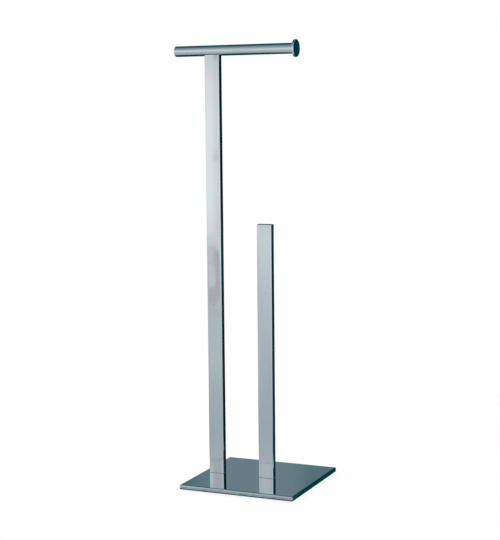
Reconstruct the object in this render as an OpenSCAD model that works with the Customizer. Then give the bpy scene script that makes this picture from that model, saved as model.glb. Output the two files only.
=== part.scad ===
// Freestanding toilet roll holder: a square plate, a tall post with a round
// roll bar across its top, and a shorter post that stores spare rolls.
// Millimetres. Z is up, X runs along the roll bar towards its end button, and
// the origin is on the floor, under the middle of the whole object.

/* [Base plate] */
// Width of the plate, left to right
plate_w = 183; // [150:1:220]
// Depth of the plate, front to back
plate_d = 183; // [140:1:220]
// Thickness of the plate
plate_t = 7.5; // [6:0.5:12]
// Radius on the plate's upright corners
plate_corner_r = 1; // [0.5:0.1:8]
// Radius along the plate's top and bottom edges
plate_edge_r = 2; // [0.3:0.1:2.4]

/* [Floor pads] */
// Diameter of each pad
pad_dia = 18; // [10:1:24]
// Thickness of each pad
pad_t = 2.5; // [1:0.5:4]
// Distance from the plate's edges to each pad's centre
pad_inset = 18.5; // [14:0.5:26]
// Bevel round each pad's lower edge
pad_bevel = 0.4; // [0.1:0.1:0.8]

/* [Posts] */
// Width of both posts, left to right
post_w = 24.8; // [22:0.1:30]
// Depth of both posts, front to back
post_d = 10; // [9.5:0.5:14]
// Wall of the post tube
post_wall = 1.2; // [0.8:0.1:1.4]
// Radius on the posts' upright edges
post_edge_r = 2; // [0.4:0.1:3]
// Distance from the plate's left edge to the tall post
post_side_gap = 11; // [4:0.5:30]
// Distance between the two posts' centre lines
post_pitch = 83; // [75:0.5:100]
// How far both posts stand in front of the plate's middle
post_forward = 4.5; // [0:0.5:30]
// Height of the roll bar's axis above the plate
bar_rise = 647; // [550:1:750]
// Height of the spare-roll post above the plate
spare_rise = 388; // [200:1:500]

/* [Post feet] */
// Thickness of the gasket under each post
gasket_t = 0.2; // [0.1:0.1:1.5]
// How far the gasket's edge lies inside the post's outline
gasket_inset = 0.2; // [0.1:0.1:0.8]
// Height of the threaded plug in the foot of each post
foot_plug_h = 22; // [16:1:40]

/* [Spare post cap] */
// Thickness of the cap that shows above the tube
top_cap_t = 2.5; // [1.5:0.5:5]
// Radius along the cap's top edges
top_cap_edge_r = 1.2; // [0.3:0.1:1.6]
// Depth of the cap's spigot inside the tube
top_cap_spigot = 10; // [5:1:20]

/* [Roll bar] */
// Diameter of the roll bar
bar_dia = 16; // [15:0.5:20]
// Wall of the roll bar's tube
bar_wall = 1.5; // [1:0.1:2]
// Length of bar to the left of the tall post, cap included
bar_overhang = 49.5; // [30:0.5:70]
// Clear length for a roll, from the tall post to the end button
roll_span = 119.5; // [105:0.5:135]
// Bevel round the bar's ends, which shows as a fine groove at each joint
seam_bevel = 0.3; // [0.1:0.1:0.3]

/* [Bar end cap] */
// Thickness of the cap's visible head
bar_cap_t = 3; // [2.5:0.5:6]
// Radius round the cap's outer edge
bar_cap_edge_r = 1.2; // [0.3:0.1:2.4]
// Length of the cap's spigot inside the bar
bar_cap_spigot = 10; // [5:1:20]

/* [End button] */
// Diameter of the button
button_dia = 26; // [22:0.5:32]
// Thickness of the button's disc
button_t = 3.5; // [3:0.5:8]
// Radius round both edges of the button's rim
button_edge_r = 1; // [0.3:0.1:1.4]
// Length of the button's spigot inside the bar
button_spigot = 6; // [4:0.5:8]

/* [Post screws] */
// Thread diameter of the countersunk screws
screw_dia = 5; // [4:0.5:5.5]
// Length of each screw, head included
screw_len = 20; // [16:1:26]
// Diameter of the countersunk head
screw_head_dia = 10; // [8:0.5:10.5]
// Height of the straight rim on the countersunk head
screw_rim_h = 0.4; // [0.2:0.1:0.8]
// Distance between the two screws in each post
screw_pitch = 12; // [11:0.5:13]
// Size of the hexagon socket, across its corners
screw_key_dia = 3.5; // [2.5:0.1:4]
// Depth of the hexagon socket
screw_key_depth = 2; // [1:0.5:3]

/* [Bar joint] */
// Height of the plug in the head of the tall post, up to the bar
head_plug_h = 20; // [12:1:40]
// Length of the solid insert inside the bar, over the tall post
joint_insert_len = 24; // [14:1:40]
// Depth of the threaded hole in that insert
joint_thread_depth = 10; // [9:0.5:11]
// Thread diameter of the screw that pulls the bar down
joint_screw_dia = 4; // [3:0.5:4.5]
// How far that screw reaches into the insert
joint_screw_bite = 7.5; // [5:0.5:8.5]
// Diameter of its round head
joint_head_dia = 7; // [6:0.1:7.1]
// Height of its round head
joint_head_h = 4; // [3:0.5:5]
// Size of the hexagon socket in its head, across its corners
joint_key_dia = 3.4; // [2.5:0.1:4]
// Depth of that socket
joint_key_depth = 2; // [1:0.5:2.5]
// Diameter of the spring washer under its head
washer_dia = 7; // [6.5:0.1:7.1]
// Thickness of the spring washer
washer_t = 1.2; // [0.8:0.1:1.5]
// Width of the spring washer's slit
washer_slit = 0.6; // [0.3:0.1:1]

/* [Button fixing] */
// Length of the threaded insert behind the button
button_insert_len = 12; // [10:1:24]
// Thread diameter of the stud
stud_dia = 5; // [4:0.5:6]
// Length of the stud
stud_len = 15; // [13:0.5:16]
// Depth of the threaded hole in the button's disc
stud_hole_in_disc = 1.2; // [0.5:0.1:1.5]
// Size of the hexagon socket in the stud, across its corners
stud_key_dia = 2.9; // [2:0.1:3.2]
// Depth of that socket
stud_key_depth = 3; // [1:0.5:5]

/* [Hidden] */
// clearances
fit_gap = 0.05;
thread_gap = 0.05;
screw_hole_gap = 0.25;
cope_gap = 0.05;
head_recess = 0.2;
insert_gap = 0.5;
stud_end_gap = 0.3;
overrun = 1;

// fineness of round shapes
$fn = 64;
hexagon = 6;

// across the object: what reaches past the plate on either side
bar_past_plate = max(0, bar_overhang - post_side_gap);
button_past_plate = max(0, post_side_gap + post_w + roll_span + button_t - plate_w);
overall_w = bar_past_plate + plate_w + button_past_plate;
plate_x = -overall_w / 2 + bar_past_plate;
plate_mid_x = plate_x + plate_w / 2;
tall_x = plate_x + post_side_gap + post_w / 2;
spare_x = tall_x + post_pitch;
post_y = -post_forward;

// up the object
deck_z = pad_t + plate_t;
foot_z = deck_z + gasket_t;
bar_z = deck_z + bar_rise;
spare_top_z = deck_z + spare_rise;
head_z = pad_t + head_recess;

// inside the post tubes
bore_w = post_w - 2 * post_wall;
bore_d = post_d - 2 * post_wall;
bore_r = max(post_edge_r - post_wall, fit_gap);
plug_w = bore_w - 2 * fit_gap;
plug_d = bore_d - 2 * fit_gap;

// along the bar
bar_r = bar_dia / 2;
bar_bore_r = bar_r - bar_wall;
slug_r = bar_bore_r - fit_gap;
bar_end_x = tall_x - post_w / 2 - bar_overhang;
tube_x = bar_end_x + bar_cap_t;
button_x = tall_x + post_w / 2 + roll_span;
tube_len = button_x - tube_x;
cope_r = bar_r + cope_gap;

// the screw up into the bar
head_plug_z = bar_z - bar_r - head_plug_h;
washer_z = head_plug_z - washer_t;
joint_tip_z = bar_z - bar_bore_r + joint_screw_bite;

// countersunk heads taper at 45 degrees
screw_cone_h = (screw_head_dia - screw_dia) / 2;
screw_r = screw_dia / 2;
screw_hole_r = screw_r + screw_hole_gap;
thread_r = screw_r + thread_gap;

// every separate piece

// A rectangle with round corners, about the origin.
module rounded_rect(w, d, r) {
    square([w - 2 * r, d], center = true);
    square([w, d - 2 * r], center = true);
    for (sx = [-1, 1], sy = [-1, 1])
        translate([sx * (w / 2 - r), sy * (d / 2 - r)])
            circle(r = r);
}

// A rectangle that stands on the X axis, with round upper corners.
module round_topped_rect(w, h, r) {
    translate([-w / 2, 0])
        square([w, h - r]);
    translate([-w / 2 + r, 0])
        square([w - 2 * r, h]);
    for (sx = [-1, 1])
        translate([sx * (w / 2 - r), h - r])
            circle(r = r);
}

// Stands a flat outline up, so that it runs front to back, centred on y = 0.
module run_in_y(depth) {
    translate([0, depth / 2, 0])
        rotate([90, 0, 0])
            linear_extrude(depth)
                children();
}

// The same, running left to right, centred on x = 0.
module run_in_x(width) {
    translate([-width / 2, 0, 0])
        rotate([90, 0, 90])
            linear_extrude(width)
                children();
}

// A round shape that lies along X: its outline is drawn as [radius, distance].
module turned_along_x(x) {
    translate([x, post_y, bar_z])
        rotate([0, 90, 0])
            rotate_extrude()
                children();
}

// Puts its child at each screw of the post at x.
module at_screws(x) {
    for (side = [-1, 1])
        translate([x + side * screw_pitch / 2, post_y, 0])
            children();
}

// The room for one countersunk screw through the plate.
module screw_hole() {
    translate([0, 0, pad_t - overrun])
        cylinder(r = screw_hole_r, h = plate_t + 2 * overrun);
    translate([0, 0, pad_t - overrun])
        cylinder(r = screw_head_dia / 2 + fit_gap, h = overrun + head_recess + screw_rim_h);
    translate([0, 0, head_z + screw_rim_h])
        cylinder(r1 = screw_head_dia / 2 + fit_gap, r2 = screw_r + fit_gap, h = screw_cone_h);
}

// One countersunk screw with a hexagon socket, head down.
module countersunk_screw() {
    difference() {
        union() {
            translate([0, 0, head_z])
                cylinder(r = screw_head_dia / 2, h = screw_rim_h);
            translate([0, 0, head_z + screw_rim_h])
                cylinder(r1 = screw_head_dia / 2, r2 = screw_r, h = screw_cone_h);
            translate([0, 0, head_z + screw_rim_h])
                cylinder(r = screw_r, h = screw_len - screw_rim_h);
        }
        translate([0, 0, head_z - overrun])
            cylinder(d = screw_key_dia, h = screw_key_depth + overrun, $fn = hexagon);
    }
}

// Polished square plate with every outer edge rounded, drilled for the screws.
module base_plate() {
    color([0.55, 0.60, 0.62])
        difference() {
            translate([plate_mid_x, 0, pad_t])
                intersection() {
                    linear_extrude(plate_t)
                        rounded_rect(plate_w, plate_d, plate_corner_r);
                    translate([0, 0, plate_t / 2])
                        run_in_y(plate_d)
                            rounded_rect(plate_w, plate_t, plate_edge_r);
                    translate([0, 0, plate_t / 2])
                        run_in_x(plate_w)
                            rounded_rect(plate_d, plate_t, plate_edge_r);
                }
            for (x = [tall_x, spare_x])
                at_screws(x)
                    screw_hole();
        }
}

// Stick-on floor pad under one corner: sx and sy are -1 or 1.
module floor_pad(sx, sy) {
    color([0.12, 0.12, 0.12])
        translate([
            plate_mid_x + sx * (plate_w / 2 - pad_inset),
            sy * (plate_d / 2 - pad_inset),
            0
        ]) {
            cylinder(r1 = pad_dia / 2 - pad_bevel, r2 = pad_dia / 2, h = pad_bevel);
            translate([0, 0, pad_bevel])
                cylinder(d = pad_dia, h = pad_t - pad_bevel);
        }
}

// The round bar's space, which the tall post's head is cut to.
module bar_space() {
    translate([tall_x - post_w, post_y, bar_z])
        rotate([0, 90, 0])
            cylinder(r = cope_r, h = 2 * post_w);
}

// Rectangular tube from z0 to z1 at x.
module post_tube(x, z0, z1) {
    translate([x, post_y, z0])
        difference() {
            linear_extrude(z1 - z0)
                rounded_rect(post_w, post_d, post_edge_r);
            translate([0, 0, -overrun])
                linear_extrude(z1 - z0 + 2 * overrun)
                    rounded_rect(bore_w, bore_d, bore_r);
        }
}

// Block that fills the tube's bore from z0 to z1 at x.
module bore_block(x, z0, z1) {
    translate([x, post_y, z0])
        linear_extrude(z1 - z0)
            rounded_rect(plug_w, plug_d, bore_r);
}

// Tall post: its head is coped to sit round the underside of the bar.
module tall_post() {
    color([0.78, 0.81, 0.83])
        difference() {
            post_tube(tall_x, foot_z, bar_z);
            bar_space();
        }
}

// Spare-roll post: a plain length of the same tube.
module spare_post() {
    color([0.78, 0.81, 0.83])
        post_tube(spare_x, foot_z, spare_top_z - top_cap_t);
}

// Thin gasket between a post's foot and the plate.
module post_gasket(x) {
    color([0.24, 0.25, 0.26])
        difference() {
            translate([x, post_y, deck_z])
                linear_extrude(gasket_t)
                    rounded_rect(post_w - 2 * gasket_inset, post_d - 2 * gasket_inset, post_edge_r);
            at_screws(x)
                translate([0, 0, deck_z - overrun])
                    cylinder(r = screw_hole_r, h = gasket_t + 2 * overrun);
        }
}

// Threaded plug brazed into a post's foot.
module foot_plug(x) {
    color([0.60, 0.58, 0.52])
        difference() {
            bore_block(x, foot_z, foot_z + foot_plug_h);
            at_screws(x)
                translate([0, 0, foot_z - overrun])
                    cylinder(r = thread_r, h = foot_plug_h + 2 * overrun);
        }
}

// The two screws that hold a post to the plate.
module foot_screws(x) {
    color([0.55, 0.55, 0.55])
        at_screws(x)
            countersunk_screw();
}

// Plug in the tall post's head, drilled for the screw that holds the bar.
module tall_post_head_plug() {
    color([0.60, 0.58, 0.52])
        difference() {
            bore_block(tall_x, head_plug_z, bar_z);
            bar_space();
            translate([tall_x, post_y, head_plug_z - overrun])
                cylinder(r = joint_screw_dia / 2 + screw_hole_gap, h = head_plug_h + 2 * overrun);
        }
}

// Cap that closes the spare-roll post, with rounded top edges.
module spare_post_top_cap() {
    color([0.80, 0.83, 0.85]) {
        translate([spare_x, post_y, spare_top_z - top_cap_t])
            intersection() {
                linear_extrude(top_cap_t)
                    rounded_rect(post_w, post_d, post_edge_r);
                run_in_y(post_d)
                    round_topped_rect(post_w, top_cap_t, top_cap_edge_r);
                run_in_x(post_w)
                    round_topped_rect(post_d, top_cap_t, top_cap_edge_r);
            }
        bore_block(spare_x, spare_top_z - top_cap_t - top_cap_spigot, spare_top_z - top_cap_t);
    }
}

// Round tube that carries the roll, bevelled at its ends and drilled underneath.
module roll_bar() {
    color([0.78, 0.81, 0.83])
        difference() {
            turned_along_x(tube_x)
                polygon([
                    [bar_bore_r, 0],
                    [bar_r - seam_bevel, 0],
                    [bar_r, seam_bevel],
                    [bar_r, tube_len - seam_bevel],
                    [bar_r - seam_bevel, tube_len],
                    [bar_bore_r, tube_len]
                ]);
            translate([tall_x, post_y, bar_z - bar_r - overrun])
                cylinder(r = joint_screw_dia / 2 + screw_hole_gap, h = bar_r + overrun);
        }
}

// Cap pressed into the bar's left end.
module bar_end_cap() {
    color([0.80, 0.83, 0.85])
        turned_along_x(bar_end_x) {
            intersection() {
                polygon([
                    [0, 0],
                    [bar_r, 0],
                    [bar_r, bar_cap_t - seam_bevel],
                    [bar_r - seam_bevel, bar_cap_t],
                    [0, bar_cap_t]
                ]);
                union() {
                    translate([0, bar_cap_edge_r])
                        square([bar_r, bar_cap_t - bar_cap_edge_r]);
                    square([bar_r - bar_cap_edge_r, bar_cap_t]);
                    translate([bar_r - bar_cap_edge_r, bar_cap_edge_r])
                        circle(r = bar_cap_edge_r);
                }
            }
            translate([0, bar_cap_t])
                square([slug_r, bar_cap_spigot]);
        }
}

// Solid insert inside the bar that takes the screw from the tall post.
module bar_joint_insert() {
    color([0.60, 0.58, 0.52])
        difference() {
            turned_along_x(tall_x - joint_insert_len / 2)
                square([slug_r, joint_insert_len]);
            translate([tall_x, post_y, bar_z - bar_r])
                cylinder(r = joint_screw_dia / 2 + thread_gap, h = bar_wall + joint_thread_depth);
        }
}

// Round-headed screw that pulls the bar down on to the tall post.
module bar_joint_screw() {
    color([0.35, 0.35, 0.36])
        translate([tall_x, post_y, washer_z - joint_head_h])
            difference() {
                union() {
                    cylinder(d = joint_head_dia, h = joint_head_h);
                    cylinder(d = joint_screw_dia, h = joint_tip_z - washer_z + joint_head_h);
                }
                translate([0, 0, -overrun])
                    cylinder(d = joint_key_dia, h = joint_key_depth + overrun, $fn = hexagon);
            }
}

// Split spring washer between that screw's head and the plug.
module bar_joint_washer() {
    color([0.65, 0.65, 0.62])
        translate([tall_x, post_y, washer_z])
            difference() {
                cylinder(d = washer_dia, h = washer_t);
                translate([0, 0, -overrun])
                    cylinder(r = joint_screw_dia / 2 + screw_hole_gap, h = washer_t + 2 * overrun);
                translate([0, -washer_slit / 2, -overrun])
                    cube([washer_dia, washer_slit, washer_t + 2 * overrun]);
            }
}

// Round button that stops the roll from sliding off, with its threaded spigot.
module end_button() {
    color([0.80, 0.83, 0.85])
        difference() {
            turned_along_x(button_x)
                union() {
                    translate([0, button_edge_r])
                        square([button_dia / 2, button_t - 2 * button_edge_r]);
                    square([button_dia / 2 - button_edge_r, button_t]);
                    for (side = [button_edge_r, button_t - button_edge_r])
                        translate([button_dia / 2 - button_edge_r, side])
                            circle(r = button_edge_r);
                    translate([0, -button_spigot])
                        square([slug_r, button_spigot]);
                }
            turned_along_x(button_x - button_spigot - overrun)
                square([stud_dia / 2 + thread_gap, overrun + button_spigot + stud_hole_in_disc]);
        }
}

// Threaded insert pressed into the bar behind the button.
module button_insert() {
    color([0.60, 0.58, 0.52])
        turned_along_x(button_x - button_spigot - insert_gap - button_insert_len)
            translate([stud_dia / 2 + thread_gap, 0])
                square([slug_r - stud_dia / 2 - thread_gap, button_insert_len]);
}

// Headless screw that joins the button to its insert.
module button_stud() {
    color([0.35, 0.35, 0.36])
        difference() {
            turned_along_x(button_x + stud_hole_in_disc - stud_end_gap - stud_len)
                square([stud_dia / 2, stud_len]);
            translate([
                button_x + stud_hole_in_disc - stud_end_gap - stud_len - overrun,
                post_y,
                bar_z
            ])
                rotate([0, 90, 0])
                    cylinder(d = stud_key_dia, h = stud_key_depth + overrun, $fn = hexagon);
        }
}

base_plate();
floor_pad(-1, -1);  // pad_front_left
floor_pad(1, -1);  // pad_front_right
floor_pad(-1, 1);  // pad_rear_left
floor_pad(1, 1);  // pad_rear_right
tall_post();
post_gasket(tall_x);  // tall_post_gasket
foot_plug(tall_x);  // tall_post_foot_plug
foot_screws(tall_x);  // tall_post_foot_screws
tall_post_head_plug();
spare_post();
post_gasket(spare_x);  // spare_post_gasket
foot_plug(spare_x);  // spare_post_foot_plug
foot_screws(spare_x);  // spare_post_foot_screws
spare_post_top_cap();
roll_bar();
bar_end_cap();
bar_joint_insert();
bar_joint_screw();
bar_joint_washer();
end_button();
button_insert();
button_stud();
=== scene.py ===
"""Freestanding toilet roll holder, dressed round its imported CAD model.

Everything is in metres, in the CAD model's frame: Z is up, X runs along the roll bar towards
its end button, and -Y is the front. The pieces with a shape of their own here are surfaces
worked out with numpy. The other CAD nodes keep their shape and get a material.
"""

import math

import bpy
import numpy as np
from mathutils import Matrix, Vector


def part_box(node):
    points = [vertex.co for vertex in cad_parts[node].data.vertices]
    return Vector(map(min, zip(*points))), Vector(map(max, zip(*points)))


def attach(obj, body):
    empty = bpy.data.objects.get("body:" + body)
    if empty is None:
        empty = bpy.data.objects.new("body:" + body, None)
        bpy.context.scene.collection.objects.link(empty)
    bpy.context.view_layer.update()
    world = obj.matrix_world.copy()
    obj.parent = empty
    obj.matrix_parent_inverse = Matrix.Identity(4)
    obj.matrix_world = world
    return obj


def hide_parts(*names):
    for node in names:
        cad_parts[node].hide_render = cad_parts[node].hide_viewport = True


bl_info = {
    "name": "Toilet roll holder",
    "version": (1, 0, 0),
    "blender": (4, 5, 0),
    "location": "View3D > Sidebar > Roll holder",
    "description": "A freestanding chrome toilet roll holder and the studio it stands in",
    "category": "Add Mesh",
}

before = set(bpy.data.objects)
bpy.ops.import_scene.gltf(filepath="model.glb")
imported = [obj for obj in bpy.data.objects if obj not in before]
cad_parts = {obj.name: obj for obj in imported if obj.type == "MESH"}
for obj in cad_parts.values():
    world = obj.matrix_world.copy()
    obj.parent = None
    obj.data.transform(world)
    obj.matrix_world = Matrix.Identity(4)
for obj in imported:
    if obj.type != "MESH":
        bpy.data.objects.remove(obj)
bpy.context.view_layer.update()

MM = 0.001
BODY = "root"

# the photograph's camera, from the fit to the object's edges
CAMERA_PLACE = (0.8321718, -1.8876416, 0.5573116)
CAMERA_TURN = 0.4123083
CAMERA_TILT = -0.1111315
CAMERA_ROLL = -0.0095092
CAMERA_LENS = 91.306
SENSOR = 36.0

# how finely the surfaces are divided
ROUND_STEPS = 96
BUTTON_STEPS = 128
PAD_STEPS = 48
ARC_STEPS = 8
WIDE_FACE_STEPS = 25
NARROW_FACE_STEPS = 13
CROWN_STEPS = 9
BORE_RINGS = 8
WALL_STEPS = 49
DISC_STEPS = 65
RING_STEP = 12 * MM
PROFILE_STEP = 1 * MM
SUPPORT = 0.06 * MM
SHARP_ANGLE = math.radians(32)
# a closed profile starts and ends this far from its axis, and a fan closes the rest
POLE = 0.4 * MM
PAD_POLE = 0.5 * MM
CAP_POLE = 1 * MM
# small edges that other pieces hide, and the least radius on an outline's corners
SPIGOT_EDGE = 0.3 * MM
PAD_TOP_EDGE = 0.1 * MM
LEAST_CORNER = 0.05 * MM

# metals: where one tone gives way to the other and the haze begins and ends, on a noise of 0 to 1,
# the haze's size against the clouds', and a speck's dark middle and edge against their spacing
CLOUD_EDGES = {"From Min": 0.38, "From Max": 0.62}
HAZE_EDGES = {"From Min": 0.35, "From Max": 0.7}
HAZE_SIZE = 0.45
SPECK_EDGES = {"From Min": 0.03, "From Max": 0.065}

# rubber: the size of its bloom
RUBBER_BLOOM = 6 * MM

# the floor, and the tent's roof and mat, are flat rings with a small hole in the middle
FLOOR_RADIUS = 3.0
FLOOR_HOLE = 1 * MM
TENT_HOLE = 10 * MM
LAMP_SIZE = 1.6
LAMP_PLACE = (-0.9, -0.8, 2.3)
LAMP_AIM = (0, 0, 0.2)

# the light tent round the object, which only reflections see
TENT_RADIUS = 4.5
TENT_HEIGHT = 4.5
MAT_LIFT = 0.3 * MM
# bearings that each wall stands between, in degrees from the front towards +X
BEARINGS = {
    "front": (-75, 75),
    "right": (75, 163),
    "behind": (163, 195),
    "slate": (-165, -147),
    "left": (-147, -75),
}
# folds in each cloth: their size in metres, and how far they move its ramps
CLOTH_FOLDS = {
    "front": (0.5, 0.006),
    "right": (0.7, 0.0),
    "behind": (0.9, 0.02),
    "slate": (0.9, 0.006),
    "left": (0.5, 0.01),
    "roof": (1.2, 0.03),
}
# folds in the patches: their size in metres, and how far they move an edge, in half sizes
PATCH_FOLD_SIZE = 0.2
PATCH_FOLDS = 0.24
# half size of a patch along an axis that doesn't matter to it
FLAT = 1000.0

# Colours by height in metres. The front and the left share the first.
FRONT_BY_HEIGHT = (
    (0.00, (0.85, 0.87, 0.88)),
    (0.16, (0.92, 0.96, 0.955)),
    (0.50, (0.94, 0.965, 0.97)),
    (0.73, (0.88, 0.89, 0.90)),
    (0.83, (0.75, 0.79, 0.81)),
    (1.20, (0.69, 0.76, 0.78)),
    (2.00, (0.57, 0.64, 0.67)),
    (4.50, (0.26, 0.37, 0.40)),
)
BEHIND_BY_HEIGHT = (
    (0.00, (0.12, 0.18, 0.20)),
    (0.70, (0.16, 0.22, 0.24)),
    (0.95, (0.02, 0.085, 0.095)),
)
# the plate's top mirrors this one: slate between two dark bands
SLATE_BY_HEIGHT = (
    (0.00, (0.0, 0.050, 0.070)),
    (0.85, (0.0, 0.055, 0.075)),
    (1.00, (0.19, 0.255, 0.29)),
    (1.50, (0.19, 0.255, 0.29)),
    (1.90, (0.0, 0.060, 0.080)),
    (4.50, (0.0, 0.045, 0.060)),
)
# factor on the front's colours, by x in metres
FRONT_ACROSS = (
    (-1.98, (1.0, 1.0, 1.0)),
    (-1.86, (0.85, 0.85, 0.85)),
    (-1.68, (0.85, 0.85, 0.85)),
    (-0.20, (1.08, 1.08, 1.08)),
    (1.00, (1.24, 1.24, 1.24)),
    (2.40, (1.24, 1.24, 1.24)),
    (3.00, (0.0, 0.035, 0.042)),
)
# Colours along y, or factors on those by height: start and end in metres, and stops as shares
# of the way.
RIGHT_ALONG = (-1.2, 4.4), (
    (0.0, (0.0, 0.03, 0.036)),
    (0.17, (0.01, 0.05, 0.057)),
    (0.20, (0.20, 0.25, 0.27)),
    (0.23, (0.20, 0.25, 0.27)),
    (0.27, (0.01, 0.05, 0.057)),
    (0.80, (0.0, 0.03, 0.036)),
    (0.885, (0.0, 0.006, 0.008)),
    (0.946, (0.0, 0.006, 0.008)),
    (0.951, (0.0, 0.047, 0.057)),
    (0.962, (0.0, 0.050, 0.062)),
    (0.972, (0.0, 0.036, 0.044)),
    (1.0, (0.0, 0.047, 0.057)),
)
SLATE_ALONG = (3.9, 4.3), (
    (0.20, (0.42, 0.68, 0.69)),
    (0.33, (0.80, 0.87, 0.88)),
    (0.45, (0.94, 0.96, 0.96)),
    (0.66, (0.94, 0.95, 0.96)),
    (0.75, (0.88, 0.93, 0.92)),
    (0.83, (0.60, 0.78, 0.77)),
)
LEFT_ALONG = (-1.2, 3.8), (
    (0.0, (1.0, 1.0, 1.0)),
    (0.5, (0.80, 0.82, 0.83)),
    (1.0, (0.45, 0.50, 0.52)),
)
ROOF_ALONG = (-TENT_RADIUS, TENT_RADIUS), (
    (0.0, (0.33, 0.42, 0.44)),
    (0.24, (0.24, 0.33, 0.36)),
    (0.50, (0.03, 0.14, 0.17)),
    (0.64, (0.0, 0.07, 0.09)),
    (1.0, (0.0, 0.045, 0.060)),
)

# Patches, each (middle, half sizes, turn in degrees, softness, colour). On the front cloth the
# first four are what the tall post's foot mirrors, and the last is a darker place for the plate
# in the views from behind.
FRONT_PATCHES = (
    ((-1.87, 0, 0.375), (0.10, FLAT, 0.045), 0, 0.6, (0.74, 0.73, 0.76)),
    ((-1.83, 0, 0.88), (0.12, FLAT, 0.07), 0, 0.6, (0.44, 0.51, 0.54)),
    ((-1.93, 0, 1.28), (0.09, FLAT, 0.20), 0, 0.3, (0.585, 0.575, 0.59)),
    ((-1.73, 0, 1.28), (0.09, FLAT, 0.20), 0, 0.3, (0.625, 0.71, 0.705)),
    ((3.4, 0, 2.3), (0.9, FLAT, 0.8), 0, 0.3, (0.28, 0.34, 0.36)),
)
# on the right wall, a lighter place for the views from the left
RIGHT_PATCHES = (((0, 2.9, 2.4), (FLAT, 1.1, 0.9), 0, 0.3, (0.24, 0.30, 0.32)),)
# on the roof, a lighter place over the right of the object and behind it
ROOF_PATCHES = (((0.9, 1.6, 0), (1.6, 2.2, FLAT), 0, 0.6, (0.34, 0.39, 0.41)),)

# mat: colour by distance in metres from the plate's edge. Its near-black start and the darker
# greys out to about 45 mm are a painted shadow of the plate on the mat.
MAT_BY_DISTANCE = (
    (0.005, (0.0, 0.06, 0.075)),
    (0.014, (0.28, 0.335, 0.35)),
    (0.027, (0.37, 0.425, 0.445)),
    (0.045, (0.48, 0.53, 0.55)),
    (0.30, (0.415, 0.492, 0.508)),
    (0.60, (0.44, 0.50, 0.52)),
    (1.40, (0.55, 0.605, 0.62)),
    (2.40, (0.65, 0.70, 0.72)),
    (4.00, (0.76, 0.80, 0.80)),
)
# its slanted streaks: turn in degrees, streaks to the metre, and how far they move that ramp
STREAK_TURN = 35
STREAK_SCALE = (90, 25, 1)
STREAK_SHIFT = 0.06
# what the tall post's front mirrors on the mat, along a line that starts under the post: (distance
# along it, distance right of it, their half sizes, softness, colour), in metres
TALL_LINE_START = (-0.04885, -0.0095, 0)
TALL_LINE_AHEAD = (-0.4247, -0.9053, 0)
MAT_PATCHES = (
    (0.60, -0.03, 0.35, 0.20, 0.9, (0.44, 0.525, 0.535)),
    (1.22, -0.03, 0.80, 0.20, 1.0, (0.545, 0.63, 0.635)),
    (2.93, -0.125, 1.00, 0.225, 0.12, (0.515, 0.52, 0.525)),
    (3.50, -0.115, 0.42, 0.15, 0.5, (0.67, 0.68, 0.68)),
    (2.78, -0.045, 0.42, 0.07, 0.3, (0.66, 0.70, 0.70)),
    (1.84, -0.08, 0.17, 0.16, 0.4, (0.57, 0.575, 0.60)),
)
# Sectors right of that: (bearing, start and full cover in metres past its line, colour, how it is
# mixed). The posts' corners show the first as a bright line and the second as a dark one. Both
# grow from nothing to full between these distances from the plate's edge.
MAT_SECTORS = (
    (-10, 0.05, 0.15, (1.33, 1.36, 1.36), "MULTIPLY"),
    (40, -0.10, 0.0, (0.0, 0.030, 0.034), "MIX"),
)
SECTOR_REACH = (0.04, 0.12)
# Behind, the posts' right sides look along lines that cross SIDES_CROSS metres away, on either side
# of a plane with this normal and offset. Left of them the mat is mid grey.
SIDE_NORMAL = (0.912, -0.41, 0)
SIDE_OFFSET = 0.005
SIDES_CROSS = 2.0
SIDES_BLEND = {"From Min": -0.02, "From Max": 0.02}
TALL_SIDE = (0.0, 0.006, 0.008)
SPARE_SIDE = (0.0, 0.050, 0.057)
LEFT_OF_SIDES = (0.38, 0.43, 0.45)
LEFT_EDGES = {"From Min": -0.12, "From Max": -0.25}
# the bar's underside mirrors the first of these, and only the side view shows the second
MAT_BEHIND = (
    ((-0.95, 1.95, 0), (2.1, 0.26, FLAT), 111, 0.2, (0.0, 0.070, 0.095)),
    ((2.6, 0.1, 0), (1.9, 0.14, FLAT), 0, 0.5, (0.24, 0.29, 0.31)),
)
# where the mat's front half gives way to its back half, in y
BACK_EDGES = {"From Min": -0.02, "From Max": 0.06}
# over both halves: a grey strip for the posts' fronts in a view from the left, a dark place under
# the bar, a bright one for the tall post's foot, and a dark one right of the plate, with a darker rim
# along the plate's edge that is painted shade where the plate meets the mat
MAT_NEAR = (
    ((0.95, -0.96, 0), (1.25, 0.08, FLAT), -45, 0.3, (0.30, 0.36, 0.38)),
    ((-0.43, 0.42, 0), (0.29, 0.64, FLAT), 0, 0.2, (0.0, 0.070, 0.095)),
    ((-0.125, -0.04, 0), (0.055, 0.11, FLAT), 0, 0.4, (0.475, 0.53, 0.54)),
    ((0.12, 0.02, 0), (0.030, 0.135, FLAT), 0, 0.3, (0.0, 0.062, 0.066)),
    # painted shade along the plate's right edge, where it meets the mat
    ((0.1115, 0.02, 0), (0.006, 0.135, FLAT), 0, 0.3, (0.0, 0.015, 0.018)),
)


def srgb(code):
    """Linear colour of an sRGB hex code: v / 12.92 below 0.04045, else ((v + 0.055) / 1.055) ^ 2.4."""
    v = np.array([int(code[i : i + 2], 16) for i in (1, 3, 5)]) / 255
    return tuple(np.where(v <= 0.04045, v / 12.92, ((v + 0.055) / 1.055) ** 2.4).tolist())


def rgba(colour):
    """The colour with full opacity, as a node's colour socket takes it."""
    return (*colour[:3], 1.0)


def length_prop(name, text, default):
    """A size, shown as a length."""
    shown = {"precision": 5, "unit": "LENGTH", "subtype": "DISTANCE"}
    return bpy.props.FloatProperty(name=name, description=text, default=default, min=0.0, **shown)


def colour_prop(name, text, code):
    """A colour, given as an sRGB hex code."""
    shown = {"size": 3, "subtype": "COLOR"}
    return bpy.props.FloatVectorProperty(
        name=name, description=text, default=srgb(code), min=0.0, max=1.0, **shown
    )


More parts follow.
